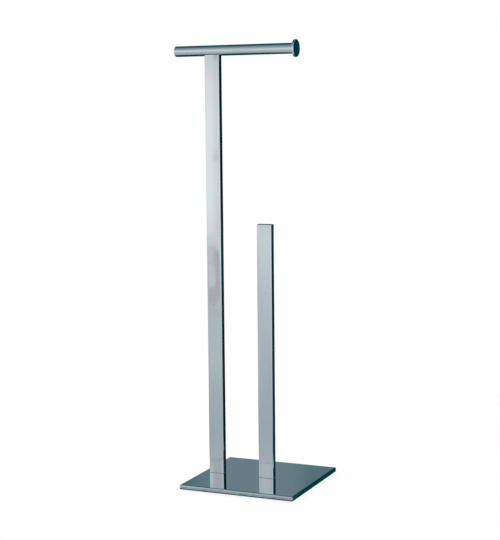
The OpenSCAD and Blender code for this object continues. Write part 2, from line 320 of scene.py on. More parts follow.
def factor_prop(name, text, default):
    """A share or level from 0 to 1."""
    return bpy.props.FloatProperty(
        name=name, description=text, default=default, min=0.0, max=1.0, subtype="FACTOR"
    )


class RollHolderSizes(bpy.types.PropertyGroup):
    """Sizes that the CAD model doesn't give as a box."""

    post_wall: length_prop("Post wall", "Wall of the rectangular post tube", 1.2 * MM)
    post_corner: length_prop("Post corner", "Radius on the upright edges of the post tube", 2.0 * MM)
    post_crown: length_prop("Post crown", "Bulge of a post's wide faces at their middle", 0.05 * MM)
    foot_round: length_prop("Foot rounding", "Radius on the cut edge at the posts' feet", 0.3 * MM)
    seam_round: length_prop("Seam rounding", "Radius on the edges where plated pieces meet", 0.15 * MM)
    cope_gap: length_prop("Cope gap", "Room between the bar and the tall post's coped head", 0.05 * MM)
    spigot_gap: length_prop("Spigot gap", "Room round a spigot in its tube", 0.05 * MM)
    top_cap: length_prop("Top cap", "Thickness of the spare post's cap above its tube", 2.5 * MM)
    top_cap_edge: length_prop("Top cap edge", "Radius round the top of the spare post's cap", 1.2 * MM)
    bar_wall: length_prop("Bar wall", "Wall of the roll bar's tube", 1.5 * MM)
    bar_cap: length_prop("Bar cap", "Thickness of the head of the bar's end cap", 3.0 * MM)
    bar_cap_edge: length_prop("Bar cap edge", "Radius round the end cap's outer edge", 1.2 * MM)
    bar_seam: length_prop("Bar seam", "Radius on the cap's edge where it meets the bar's tube", 0.3 * MM)
    button: length_prop("Button", "Thickness of the end button's disc", 3.5 * MM)
    button_edge: length_prop("Button edge", "Radius between the button's face and its rim", 0.7 * MM)
    button_back: length_prop("Button back edge", "Radius on the back of the button's rim", 0.3 * MM)
    button_crown: length_prop("Button crown", "Bulge of the button's face at its middle", 0.08 * MM)
    stud_hole: length_prop("Stud hole", "Radius of the button's hole for its stud", 2.55 * MM)
    stud_hole_in_disc: length_prop("Stud hole depth", "How far that hole goes into the disc", 1.2 * MM)
    pad_edge: length_prop("Pad edge", "Radius round the floor pads' lower edge", 0.4 * MM)


class RollHolderColours(bpy.types.PropertyGroup):
    """Colours of the finishes."""

    chrome_cool: colour_prop("Chrome, cool", "Chrome where its plating looks slightly green", "#dce7e9")
    chrome_warm: colour_prop("Chrome, warm", "Chrome where its plating looks slightly lilac", "#e2e0e6")
    brass: colour_prop("Brass", "Unplated brass of the plugs and inserts", "#c9a55a")
    brass_dull: colour_prop("Brass, dull", "Brass where it has begun to tarnish", "#a98446")
    zinc: colour_prop("Zinc", "Bright zinc plate on the screws", "#c3c8cc")
    zinc_dull: colour_prop("Zinc, dull", "Zinc plate where it is dull", "#9aa0a5")
    black_oxide: colour_prop("Black oxide", "Black oxide on the hidden screws", "#1d1d20")
    rubber: colour_prop("Rubber", "Rubber of the floor pads", "#1b1b1c")
    rubber_grey: colour_prop("Rubber, bloom", "Greyer bloom on the rubber", "#2a2a2b")
    gasket: colour_prop("Gasket", "Thin grey rubber under the posts", "#86898b")
    gasket_pale: colour_prop("Gasket, pale", "Paler bloom on that rubber", "#94989a")


class RollHolderStage(bpy.types.PropertyGroup):
    """Floor, light and background."""

    floor: colour_prop("Floor", "Plain pale floor", "#f8f8f8")
    floor_white: factor_prop("Floor's own white", "Share of the floor that is plain white", 0.90)
    world_level: factor_prop("Room light", "Level of the light that comes from all round", 0.76)
    lamp_power: bpy.props.FloatProperty(
        name="Lamp power",
        description="Power of the one large soft lamp",
        default=23.0,
        min=0.0,
        unit="POWER",
    )
    floor_clear: length_prop("Floor shown", "Distance out to which the floor is solid", 0.45)
    floor_fade: length_prop("Floor faded", "Distance at which the floor has faded away", 1.5)


# ---------------------------------------------------------------- surfaces


def halves(low, high):
    """Middle and half sizes of the box between two corners."""
    return [(a + b) / 2 for a, b in zip(low, high)], [(b - a) / 2 for a, b in zip(low, high)]


def rounded_line(corners, radii):
    """A line of straight runs with its corners rounded.

    A corner P between unit directions a and b (back and on) with the angle w between them and
    radius r becomes an arc about P + r / sin(w / 2) along the bisector. It is interpolated
    on the circle from P + a r / tan(w / 2) to P + b r / tan(w / 2). A support point follows
    and leads each arc, so that the flats next to it stay flat in the shading.
    """
    corners = np.asarray(corners, float)
    parts = [corners[:1]]
    s = np.linspace(0, 1, ARC_STEPS + 1)[:, None]
    for before, here, after, r in zip(corners[:-2], corners[1:-1], corners[2:], radii):
        a = (before - here) / np.linalg.norm(before - here)
        b = (after - here) / np.linalg.norm(after - here)
        if r <= 0:
            parts.append(here[None])
            continue
        half = math.acos(np.clip(a @ b, -1, 1)) / 2
        run = r / math.tan(half)
        middle = here + (a + b) / np.linalg.norm(a + b) * r / math.sin(half)
        sweep = math.pi - 2 * half
        first, last = here + a * run - middle, here + b * run - middle
        arc = (first * np.sin((1 - s) * sweep) + last * np.sin(s * sweep)) / math.sin(sweep)
        parts += [(here + a * (run + SUPPORT))[None], middle + arc, (here + b * (run + SUPPORT))[None]]
    parts.append(corners[-1:])
    return np.concatenate(parts)


def divided(line, step):
    """The same line with points added, so that no run is longer than step."""
    gaps = np.linalg.norm(np.diff(line, axis=0), axis=1)
    starts = np.concatenate([[0], np.cumsum(gaps)])
    counts = [max(2, math.ceil(g / step) + 1) for g in gaps]
    more = np.concatenate([np.linspace(s, s + g, n) for s, g, n in zip(starts, gaps, counts)])
    every = np.unique(np.round(np.concatenate([starts, more]), 9))
    return np.stack([np.interp(every, starts, line[:, k]) for k in range(line.shape[1])], 1)


def turned(profile, axis_y, axis_z, steps=ROUND_STEPS):
    """Turned about a line along X: (x, r) goes round as (x, y0 + r sin t, z0 + r cos t)."""
    t = np.linspace(0, 2 * math.pi, steps, endpoint=False)
    x, r = profile[:, :1], profile[:, 1:]
    return np.stack([x + 0 * t, axis_y + r * np.sin(t), axis_z + r * np.cos(t)], -1)


def post_outline(half_w, half_d, corner, crown):
    """Section of a drawn rectangular tube, as points all round it.

    The sides are straight runs, and the corners are quarter circles. The two wide faces
    fall back by crown s^2 for s from -1 to 1 across them, as a drawn tube's do.
    """
    s = np.linspace(-1, 1, WIDE_FACE_STEPS)
    t = np.linspace(-1, 1, NARROW_FACE_STEPS)
    arc = np.linspace(0, math.pi / 2, ARC_STEPS + 2)[1:-1]
    w, d = half_w - corner, half_d - crown - corner
    face = half_d - crown * s**2
    runs = [
        np.stack([s * w, -face], 1),
        np.stack([w + corner * np.sin(arc), -d - corner * np.cos(arc)], 1),
        np.stack([half_w + 0 * t, t * d], 1),
        np.stack([w + corner * np.cos(arc), d + corner * np.sin(arc)], 1),
        np.stack([-s * w, face], 1),
        np.stack([-w - corner * np.sin(arc), d + corner * np.cos(arc)], 1),
        np.stack([-half_w + 0 * t, -t * d], 1),
        np.stack([-w - corner * np.cos(arc), -d - corner * np.sin(arc)], 1),
    ]
    return np.concatenate(runs)


def ring(outline, x, y, z):
    """The outline, moved to (x, y) and lifted to z, which may be a number or one for each point."""
    return np.column_stack([outline[:, 0] + x, outline[:, 1] + y, np.broadcast_to(z, len(outline))])


def shell(name, rings, material, loop=False):
    """Object with a closed skin over rings of points (rings, round, 3).

    Ring i joins ring i + 1 all the way round. With loop the last ring joins the first, and
    otherwise a fan to its middle closes each end. The faces are turned to point outwards
    by the sign of the volume, the sum of v0 . (v1 x v2) / 6 over the triangles.
    """
    rings = np.asarray(rings, float)
    count, around = rings.shape[:2]
    points = rings.reshape(-1, 3)
    i = np.arange(count if loop else count - 1)[:, None]
    j = np.arange(around)[None]
    low, high, nxt = i * around, (i + 1) % count * around, (j + 1) % around
    quads = np.stack(np.broadcast_arrays(low + j, low + nxt, high + nxt, high + j), -1).reshape(-1, 4)
    fans = np.empty((0, 3), int)
    if not loop:
        ends = np.stack([rings[0].mean(0), rings[-1].mean(0)])
        first, last = len(points), len(points) + 1
        points = np.concatenate([points, ends])
        k = np.arange(around)
        top = (count - 1) * around
        fans = np.concatenate(
            [
                np.stack([np.full(around, first), (k + 1) % around, k], 1),
                np.stack([np.full(around, last), top + k, top + (k + 1) % around], 1),
            ]
        )
    thirds = np.concatenate([quads[:, [0, 1, 2]], quads[:, [0, 2, 3]], fans])
    a, b, c = (points[thirds[:, k]] for k in range(3))
    if np.einsum("ij,ij->", a, np.cross(b, c)) < 0:
        quads, fans = quads[:, ::-1], fans[:, ::-1]
    return mesh_object(name, points, quads.tolist() + fans.tolist(), material)


def sheet_of(name, grid, material):
    """Object with one open sheet over a grid of points (rows, columns, 3)."""
    rows, cols = grid.shape[:2]
    i, j = np.arange(rows - 1)[:, None], np.arange(cols - 1)[None]
    at = i * cols + j
    quads = np.stack([at, at + 1, at + cols + 1, at + cols], -1).reshape(-1, 4)
    return mesh_object(name, grid.reshape(-1, 3), quads.tolist(), material)


def disc(inner, outer):
    """Grid of a flat ring about Z: (r cos a, r sin a, 0)."""
    r = np.linspace(inner, outer, 2)[:, None]
    a = np.linspace(0, 2 * math.pi, DISC_STEPS)[None]
    return np.stack(np.broadcast_arrays(r * np.cos(a), r * np.sin(a), 0 * r), -1)


def mesh_object(name, points, faces, material):
    """Object at the origin with that mesh, shaded smooth but for its sharp edges."""
    mesh = bpy.data.meshes.new(name)
    mesh.from_pydata(points.tolist(), [], faces)
    mesh.shade_smooth()
    mesh.set_sharp_from_angle(angle=SHARP_ANGLE)
    made = bpy.data.objects.new(name, mesh)
    bpy.context.scene.collection.objects.link(made)
    mesh.materials.append(material)
    return made


# ---------------------------------------------------------------- materials


def add(tree, kind, inputs=(), stops=(), **settings):
    """Adds one node. settings are its own fields, inputs gives each socket a value or what feeds
    it, where a node stands for its first output, and stops are a colour ramp's (place, colour)
    pairs. A Mix node of colours takes its factor at 0 and colours at 6 and 7, and gives output 2."""
    node = tree.nodes.new(kind)
    for field, value in settings.items():
        setattr(node, field, value)
    for socket, value in dict(inputs).items():
        if isinstance(value, bpy.types.Node):
            value = value.outputs[0]
        if isinstance(value, bpy.types.NodeSocket):
            tree.links.new(value, node.inputs[socket])
        else:
            node.inputs[socket].default_value = value
    for n, (place, colour) in enumerate(stops):
        stop = node.color_ramp.elements[n] if n < 2 else node.color_ramp.elements.new(place)
        stop.position = place
        stop.color = rgba(colour)
    return node


def new_material(name):
    """An empty material, its node tree, and the Object coordinates that its pattern follows."""
    made = bpy.data.materials.new(name)
    made.use_nodes = True
    made.node_tree.nodes.clear()
    return made, made.node_tree, add(made.node_tree, "ShaderNodeTexCoord").outputs["Object"]


def bumps(tree, place, layers):
    """Chain of bumps on the surface: each layer is (size in mm, height in mm, stretch, detail)."""
    normal = None
    for size, height, stretch, detail in layers:
        scale = tuple(s / (size * MM) for s in stretch)
        where = add(tree, "ShaderNodeMapping", {"Vector": place, "Scale": scale})
        waves = {"Vector": where, "Scale": 1.0, "Detail": detail, "Roughness": 0.5}
        noise = add(tree, "ShaderNodeTexNoise", waves)
        fed = {"Strength": 1.0, "Distance": height * MM, "Height": noise}
        if normal:
            fed["Normal"] = normal
        normal = add(tree, "ShaderNodeBump", fed)
    return normal


def metal(name, tones, cloud, rough, layers, pits=0.0, pit_space=9.0):
    """A bare or plated metal.

    tones are its two colours, which drift into each other in clouds of cloud mm. rough is its
    lowest and highest roughness, and layers go to bumps(). pits darkens sparse specks
    about pit_space mm apart.
    """
    made, tree, place = new_material(name)
    clouds = {"Scale": 1 / (cloud * MM), "Detail": 6.0, "Roughness": 0.7, "Distortion": 0.5}
    drift = add(tree, "ShaderNodeTexNoise", {"Vector": place, **clouds})
    blend = add(tree, "ShaderNodeMapRange", {"Value": drift, **CLOUD_EDGES})
    pair = {0: blend, 6: rgba(tones[0]), 7: rgba(tones[1])}
    shown = add(tree, "ShaderNodeMix", pair, data_type="RGBA").outputs[2]
    if pits:
        cell = add(tree, "ShaderNodeTexVoronoi", {"Vector": place, "Scale": 1 / (pit_space * MM)})
        shade = {"Value": cell, **SPECK_EDGES, "To Min": 1 - pits, "To Max": 1.0}
        speck = add(tree, "ShaderNodeMapRange", shade)
        pair = {0: 1.0, 6: shown, 7: speck}
        shown = add(tree, "ShaderNodeMix", pair, data_type="RGBA", blend_type="MULTIPLY").outputs[2]
    scale = 1 / (cloud * HAZE_SIZE * MM)
    haze = add(tree, "ShaderNodeTexNoise", {"Vector": place, "Scale": scale, "Detail": 4.0})
    span = {"Value": haze, **HAZE_EDGES, "To Min": rough[0], "To Max": rough[1]}
    dull = add(tree, "ShaderNodeMapRange", span)
    normal = bumps(tree, place, layers)
    plated = {"Base Color": shown, "Metallic": 1.0, "Roughness": dull, "Normal": normal}
    shader = add(tree, "ShaderNodeBsdfPrincipled", plated)
    add(tree, "ShaderNodeOutputMaterial", {"Surface": shader})
    return made


def rubber(name, tones, grain, grain_height):
    """Matt rubber: two greys in soft clouds and a fine grain, sized in mm."""
    made, tree, place = new_material(name)
    bloom = add(tree, "ShaderNodeTexNoise", {"Vector": place, "Scale": 1 / RUBBER_BLOOM, "Detail": 4.0})
    pair = {0: bloom, 6: rgba(tones[0]), 7: rgba(tones[1])}
    shown = add(tree, "ShaderNodeMix", pair, data_type="RGBA").outputs[2]
    normal = bumps(tree, place, [(grain, grain_height, (1, 1, 1), 3.0)])
    matt = {"Base Color": shown, "Roughness": 0.8, "IOR": 1.52, "Normal": normal}
    shader = add(tree, "ShaderNodeBsdfPrincipled", matt)
    add(tree, "ShaderNodeOutputMaterial", {"Surface": shader})
    return made


def finish(name):
    """The named finish, made when it is first asked for."""
    if name in bpy.data.materials:
        return bpy.data.materials[name]
    c = bpy.context.scene.roll_holder_colours
    chrome = (c.chrome_cool, c.chrome_warm)
    even = (1, 1, 1)
    tube_waves = [(26, 0.030, (1, 1, 0.7), 1.0), (4, 0.0009, (1, 1, 0.25), 2.0)]
    bar_waves = [(18, 0.010, (0.8, 1, 1), 1.0), (1.5, 0.0004, (1, 0.1, 0.1), 1.0)]
    metals = {
        # chrome over ground and buffed plate steel: a near mirror with a faint orange peel
        "chrome_on_buffed_plate": (chrome, 45, (0.012, 0.03), [(22, 0.006, even, 1.0)], 0.15, 24),
        # chrome over drawn tube: the mirror waves gently, longer along the draw, under a thin haze
        "chrome_on_drawn_tube": (chrome, 34, (0.02, 0.06), tube_waves, 0.3, 24),
        # chrome over round tube, centreless polished: finer waves and faint rings round it
        "chrome_on_round_tube": (chrome, 18, (0.03, 0.08), bar_waves, 0.4, 17),
        # chrome over a turned part: the lathe's lines are nearly buffed away
        "chrome_on_turned_metal": (chrome, 12, (0.02, 0.05), [(9, 0.004, even, 1.0)], 0.15, 14),
        # free-cutting brass as machined: warm, with dull clouds and tool marks
        "machined_brass": ((c.brass, c.brass_dull), 8, (0.22, 0.38), [(0.6, 0.004, (1, 1, 0.2), 2.0)]),
        # bright zinc plate: grey-white, a little milky
        "zinc_plated_steel": ((c.zinc, c.zinc_dull), 5, (0.25, 0.42), [(0.8, 0.003, even, 2.0)]),
        # black oxide over alloy steel: an oily near-black
        "black_oxide_steel": ((c.black_oxide, c.rubber_grey), 5, (0.35, 0.5), [(0.7, 0.003, even, 2.0)]),
    }
    rubbers = {
        # moulded rubber: matt, with the mould's fine spark-eroded grain
        "moulded_rubber": ((c.rubber, c.rubber_grey), 0.5, 0.03),
        # thin rubber sheet, die cut: smoother and paler than the pads
        "die_cut_rubber": ((c.gasket, c.gasket_pale), 0.3, 0.01),
    }
    if name in metals:
        return metal(name, *metals[name])
    return rubber(name, *rubbers[name])


def make_piece(name, rings, look, slot, *nodes, loop=False):
    """A closed skin in that finish, which moves with the holder and stands for the CAD nodes."""
    piece = shell(name, rings, finish(look), loop)
    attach(piece, BODY)
    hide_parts(*nodes)


def dress(name, *nodes):
    """CAD nodes that keep their shape get the named finish."""
    for node in nodes:
        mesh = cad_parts[node].data
        mesh.materials.clear()
        mesh.materials.append(finish(name))


# ---------------------------------------------------------------- pieces


def post_tube(node, z_top, sizes, top_round):
    """Make the drawn tube of a post: its outline is carried up the outside and down the bore.

    At height t from 0 to 1 a ring lies at z0 + t (z_top - z0), where z_top may differ round
    the outline. A rounded edge of radius r moves a ring in by r (1 - sin a) and up by
    r (1 - cos a) for a from 0 to 90 degrees.
    """
    low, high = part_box(node)
    (x, y, _), (half_w, half_d, _) = halves(low, high)
    wall, corner, crown = sizes.post_wall, sizes.post_corner, sizes.post_crown
    full = post_outline(half_w, half_d, corner, crown)
    bore = post_outline(half_w - wall, half_d - wall, corner - wall, 0.0)
    roof, bore_roof = z_top(full[:, 1] + y), z_top(bore[:, 1] + y)
    a = np.linspace(0, math.pi / 2, ARC_STEPS)
    arc = list(zip(np.sin(a), np.cos(a)))

    def drawn_in(by):
        return post_outline(half_w - by, half_d - by, corner - by, crown)

    foot = sizes.foot_round
    rings = [ring(drawn_in(foot * (1 - s)), x, y, low.z + foot * (1 - c)) for s, c in arc]
    start = low.z + foot + SUPPORT
    stop = roof - top_round - SUPPORT
    steps = max(2, round((high.z - low.z) / RING_STEP))
    rings += [ring(full, x, y, start + t * (stop - start)) for t in np.linspace(0, 1, steps)]
    if top_round:
        rings += [ring(drawn_in(top_round * (1 - c)), x, y, roof - top_round * (1 - s)) for s, c in arc]
    else:
        rings.append(ring(full, x, y, roof))
    down = np.linspace(0, 1, BORE_RINGS)
    rings += [ring(bore, x, y, bore_roof + t * (low.z - bore_roof)) for t in down]
    make_piece(node + "_tube", rings, "chrome_on_drawn_tube", "post_chrome", node, loop=True)


class ROLLHOLDER_OT_posts(bpy.types.Operator):
    """Make the tall post with its coped head and the plain spare-roll post"""

    bl_idname = "roll_holder.posts"
    bl_label = "Posts"

    def execute(self, context):
        sizes = context.scene.roll_holder_sizes
        (_, bar_y, bar_z), (_, _, bar_radius) = halves(*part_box("roll_bar"))
        cope = bar_radius + sizes.cope_gap

        def under_the_bar(y):
            """The coped head: z = bar's axis - sqrt(cope^2 - (y - bar's y)^2)."""
            return bar_z - np.sqrt(cope**2 - (y - bar_y) ** 2)

        def cut_square(y):
            return np.full(len(y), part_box("spare_post")[1].z)

        post_tube("tall_post", under_the_bar, sizes, 0.0)
        post_tube("spare_post", cut_square, sizes, sizes.seam_round)
        return {"FINISHED"}


class ROLLHOLDER_OT_post_cap(bpy.types.Operator):
    """Make the eased cap that closes the spare-roll post, with its spigot"""

    bl_idname = "roll_holder.post_cap"
    bl_label = "Spare post cap"

    def execute(self, context):
        sizes = context.scene.roll_holder_sizes
        low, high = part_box("spare_post_top_cap")
        (x, y, _), (half_w, half_d, _) = halves(low, high)
        corner, crown = sizes.post_corner, sizes.post_crown
        inside = sizes.post_wall + sizes.spigot_gap
        seat = high.z - sizes.top_cap
        # (how far in from the post's outline, height) down the spigot's middle, out and over the top
        path = rounded_line(
            [
                (half_d - CAP_POLE, low.z),
                (inside, low.z),
                (inside, seat),
                (0, seat),
                (0, high.z),
                (half_d - CAP_POLE, high.z),
            ],
            [SPIGOT_EDGE, 0.0, sizes.seam_round, sizes.top_cap_edge],
        )
        rings = [
            ring(post_outline(half_w - by, half_d - by, max(corner - by, LEAST_CORNER), crown), x, y, z)
            for by, z in path
        ]
        make_piece("spare_post_cap", rings, "chrome_on_turned_metal", "cap_chrome", "spare_post_top_cap")
        return {"FINISHED"}


class ROLLHOLDER_OT_bar_ends(bpy.types.Operator):
    """Make the turned cap in the bar's left end and the round end button"""

    bl_idname = "roll_holder.bar_ends"
    bl_label = "Bar end cap and button"

    def execute(self, context):
        sizes = context.scene.roll_holder_sizes
        (_, y, z), (_, _, radius) = halves(*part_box("roll_bar"))
        spigot = radius - sizes.bar_wall - sizes.spigot_gap

        low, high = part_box("bar_end_cap")
        seat = low.x + sizes.bar_cap
        path = rounded_line(
            [
                (low.x, POLE),
                (low.x, radius),
                (seat, radius),
                (seat, spigot),
                (high.x, spigot),
                (high.x, POLE),
            ],
            [sizes.bar_cap_edge, sizes.bar_seam, 0.0, SPIGOT_EDGE],
        )
        rings = turned(divided(path, PROFILE_STEP), y, z)
        make_piece("bar_cap", rings, "chrome_on_turned_metal", "cap_chrome", "bar_end_cap")

        low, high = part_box("end_button")
        rim = (high.z - low.z) / 2
        seat = high.x - sizes.button
        hole, floor = sizes.stud_hole, seat + sizes.stud_hole_in_disc
        # the face falls back by crown (r / rim)^2
        face = np.linspace(POLE, rim, CROWN_STEPS)
        crowned = [(high.x - sizes.button_crown * (r / rim) ** 2, r) for r in face]
        path = rounded_line(
            [
                *crowned,
                (seat, rim),
                (seat, spigot),
                (low.x, spigot),
                (low.x, hole),
                (floor, hole),
                (floor, POLE),
            ],
            [0.0] * (len(face) - 2) + [sizes.button_edge, sizes.button_back, 0.0, SPIGOT_EDGE, 0.0, 0.0],
        )
        rings = turned(divided(path, PROFILE_STEP), y, z, BUTTON_STEPS)
        make_piece("button", rings, "chrome_on_turned_metal", "cap_chrome", "end_button")
        return {"FINISHED"}


class ROLLHOLDER_OT_pads(bpy.types.Operator):
    """Make the four rubber pads under the plate"""

    bl_idname = "roll_holder.pads"
    bl_label = "Floor pads"

    def execute(self, context):
        sizes = context.scene.roll_holder_sizes
        for node in ("pad_front_left", "pad_front_right", "pad_rear_left", "pad_rear_right"):
            low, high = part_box(node)
            (x0, y0, _), (radius, _, _) = halves(low, high)
            path = rounded_line(
                [(low.z, PAD_POLE), (low.z, radius), (high.z, radius), (high.z, PAD_POLE)],
                [sizes.pad_edge, PAD_TOP_EDGE],
            )
            # turned about Z: (z, r) goes round as (x0 + r cos t, y0 + r sin t, z)
            rings = turned(divided(path, PROFILE_STEP), y0, x0, PAD_STEPS)[..., ::-1]
            make_piece("moulded_" + node, rings, "moulded_rubber", "pad_rubber", node)
        return {"FINISHED"}


class ROLLHOLDER_OT_plate_and_bar(bpy.types.Operator):
    """Give the base plate and the roll bar, which keep their CAD shape, their chrome"""

    bl_idname = "roll_holder.plate_and_bar"
    bl_label = "Base plate and roll bar"

    def execute(self, context):
        dress("chrome_on_buffed_plate", "base_plate")
        dress("chrome_on_round_tube", "roll_bar")
        return {"FINISHED"}


class ROLLHOLDER_OT_fixings(bpy.types.Operator):
    """Give the gaskets, plugs, inserts, screws, washer and stud their finishes"""

    bl_idname = "roll_holder.fixings"
    bl_label = "Gaskets and hidden fixings"

    def execute(self, context):
        dress("die_cut_rubber", "tall_post_gasket", "spare_post_gasket")
        dress(
            "machined_brass",
            "tall_post_foot_plug",
            "spare_post_foot_plug",
            "tall_post_head_plug",
            "bar_joint_insert",
            "button_insert",
        )
        dress("zinc_plated_steel", "tall_post_foot_screws", "spare_post_foot_screws", "bar_joint_washer")
        dress("black_oxide_steel", "bar_joint_screw", "button_stud")
        return {"FINISHED"}


# ---------------------------------------------------------------- stage


def seen_directly(tree):
    """1 for what the camera sees, in metal and through glass too, and 0 for the light on things."""
    path = add(tree, "ShaderNodeLightPath")
    seen = path.outputs["Is Camera Ray"]
    for ray in ("Is Glossy Ray", "Is Transmission Ray"):
        seen = add(tree, "ShaderNodeMath", {0: seen, 1: path.outputs[ray]}, operation="MAXIMUM")
    return seen


def along(axis, start, end):
    """Place on a ramp that runs along one axis, from 0 at start to 1 at end."""

    def where(tree, place):
        parts = add(tree, "ShaderNodeSeparateXYZ", {0: place})
        span = {"Value": parts.outputs[axis], "From Min": start, "From Max": end}
        return add(tree, "ShaderNodeMapRange", span)

    return where


def by_height(stops):
    """Ramp up a wall, with its stops at heights in metres."""
    return along(2, 0, TENT_HEIGHT), [(z / TENT_HEIGHT, colour) for z, colour in stops]


def by_x(stops):
    """Ramp from one side of the tent to the other, with its stops at x in metres."""
    shares = [((x / TENT_RADIUS + 1) / 2, colour) for x, colour in stops]
    return along(0, -TENT_RADIUS, TENT_RADIUS), shares


def by_y(span, stops):
    """Ramp along Y over a span in metres, with its stops as shares of the way."""
    return along(1, *span), stops


def out_from_plate(tree, place):
    """Place on a ramp of the distance from the plate's edge: sqrt(q / R), where q is
    max(|x - x0|, |y - y0|) - h for a plate of half width h about (x0, y0)."""
    (x0, y0, _), (half, _, _) = halves(*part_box("base_plate"))
    moved = add(tree, "ShaderNodeVectorMath", {0: place, 1: (x0, y0, 0)}, operation="SUBTRACT")
    size = add(tree, "ShaderNodeVectorMath", {0: moved}, operation="ABSOLUTE")
    parts = add(tree, "ShaderNodeSeparateXYZ", {0: size})
    x_and_y = {0: parts.outputs["X"], 1: parts.outputs["Y"]}
    far = add(tree, "ShaderNodeMath", x_and_y, operation="MAXIMUM")
    span = {"Value": far, "From Min": half, "From Max": half + TENT_RADIUS}
    share = add(tree, "ShaderNodeMapRange", span)
    return add(tree, "ShaderNodeMath", {0: share, 1: 0.5}, operation="POWER")


def ramp_place(distance):
    """Place of a distance in metres on that ramp."""
    return math.sqrt(distance / TENT_RADIUS)


def patched(tree, place, under, patches):
    """Lays soft patches of other colours over a cloth, as things that stand in a studio do.

    Each is (middle, half sizes, turn in degrees, softness, colour), and with x and y in half
    sizes from its middle, d^4 = x^4 + y^4 gives it a rounded square outline. It covers the
    cloth fully where d < 1 - softness, and not at all where d > 1, give or take the folds.
    """
    waves = {"Vector": place, "Scale": 1 / PATCH_FOLD_SIZE, "Detail": 2.0}
    folds = add(tree, "ShaderNodeTexNoise", waves)
    for middle, half, turn, softness, colour in patches:
        lie = {"Location": middle, "Rotation": (0, 0, math.radians(turn)), "Scale": half}
        local = add(tree, "ShaderNodeMapping", {"Vector": place, **lie}, vector_type="TEXTURE")
        squares = add(tree, "ShaderNodeVectorMath", {0: local, 1: local}, operation="MULTIPLY")
        d2 = add(tree, "ShaderNodeVectorMath", {0: squares}, operation="LENGTH")
        d = add(tree, "ShaderNodeMath", {0: d2.outputs["Value"], 1: 0.5}, operation="POWER")
        wavy = add(tree, "ShaderNodeMath", {0: folds, 1: PATCH_FOLDS, 2: d}, operation="MULTIPLY_ADD")
        edge = 1 + PATCH_FOLDS / 2
        span = {"Value": wavy, "From Min": edge, "From Max": edge - softness}
        cover = add(tree, "ShaderNodeMapRange", span, interpolation_type="SMOOTHSTEP")
        pair = {0: cover, 6: under, 7: rgba(colour)}
        under = add(tree, "ShaderNodeMix", pair, data_type="RGBA").outputs[2]
    return under


def cloth(name, ramps, patches=()):
    """Cloth of one part of the light tent, lit from behind.

    Each of ramps is (place on it, stops), and their colours multiply. A noise moves the
    places, as folds in the cloth do.
    """
    made, tree, place = new_material("tent_" + name)
    size, reach = CLOTH_FOLDS[name]
    folds = add(tree, "ShaderNodeTexNoise", {"Vector": place, "Scale": 1 / size, "Detail": 2.0})
    shift = add(tree, "ShaderNodeMath", {0: folds, 1: reach, 2: -reach / 2}, operation="MULTIPLY_ADD")
    glow = None
    for where, stops in ramps:
        moved = add(tree, "ShaderNodeMath", {0: where(tree, place), 1: shift}, operation="ADD")
        ramp = add(tree, "ShaderNodeValToRGB", {0: moved}, stops)
        if glow:
            pair = {0: 1.0, 6: glow, 7: ramp}
            ramp = add(tree, "ShaderNodeMix", pair, data_type="RGBA", blend_type="MULTIPLY").outputs[2]
        glow = ramp
    glow = patched(tree, place, glow, patches)
    light = add(tree, "ShaderNodeEmission", {"Color": glow, "Strength": 1.0})
    add(tree, "ShaderNodeOutputMaterial", {"Surface": light})
    return made


def only_reflected(piece):
    """Stage cloth that shows in reflections and nowhere else, and throws no light or shadow."""
    for ray in ("camera", "diffuse", "transmission", "volume_scatter", "shadow"):
        setattr(piece, "visible_" + ray, False)
    for material in piece.data.materials:
        material.cycles.emission_sampling = "NONE"


def wall(name, ramps, patches=()):
    """Upright sheet of the tent between two bearings a: (R sin a, -R cos a, z)."""
    a = np.radians(np.linspace(*BEARINGS[name], WALL_STEPS))[None]
    z = np.linspace(0, TENT_HEIGHT, 2)[:, None]
    grid = np.stack(np.broadcast_arrays(TENT_RADIUS * np.sin(a), -TENT_RADIUS * np.cos(a), z), -1)
    only_reflected(sheet_of(f"tent_{name}_wall", grid, cloth(name, ramps, patches)))


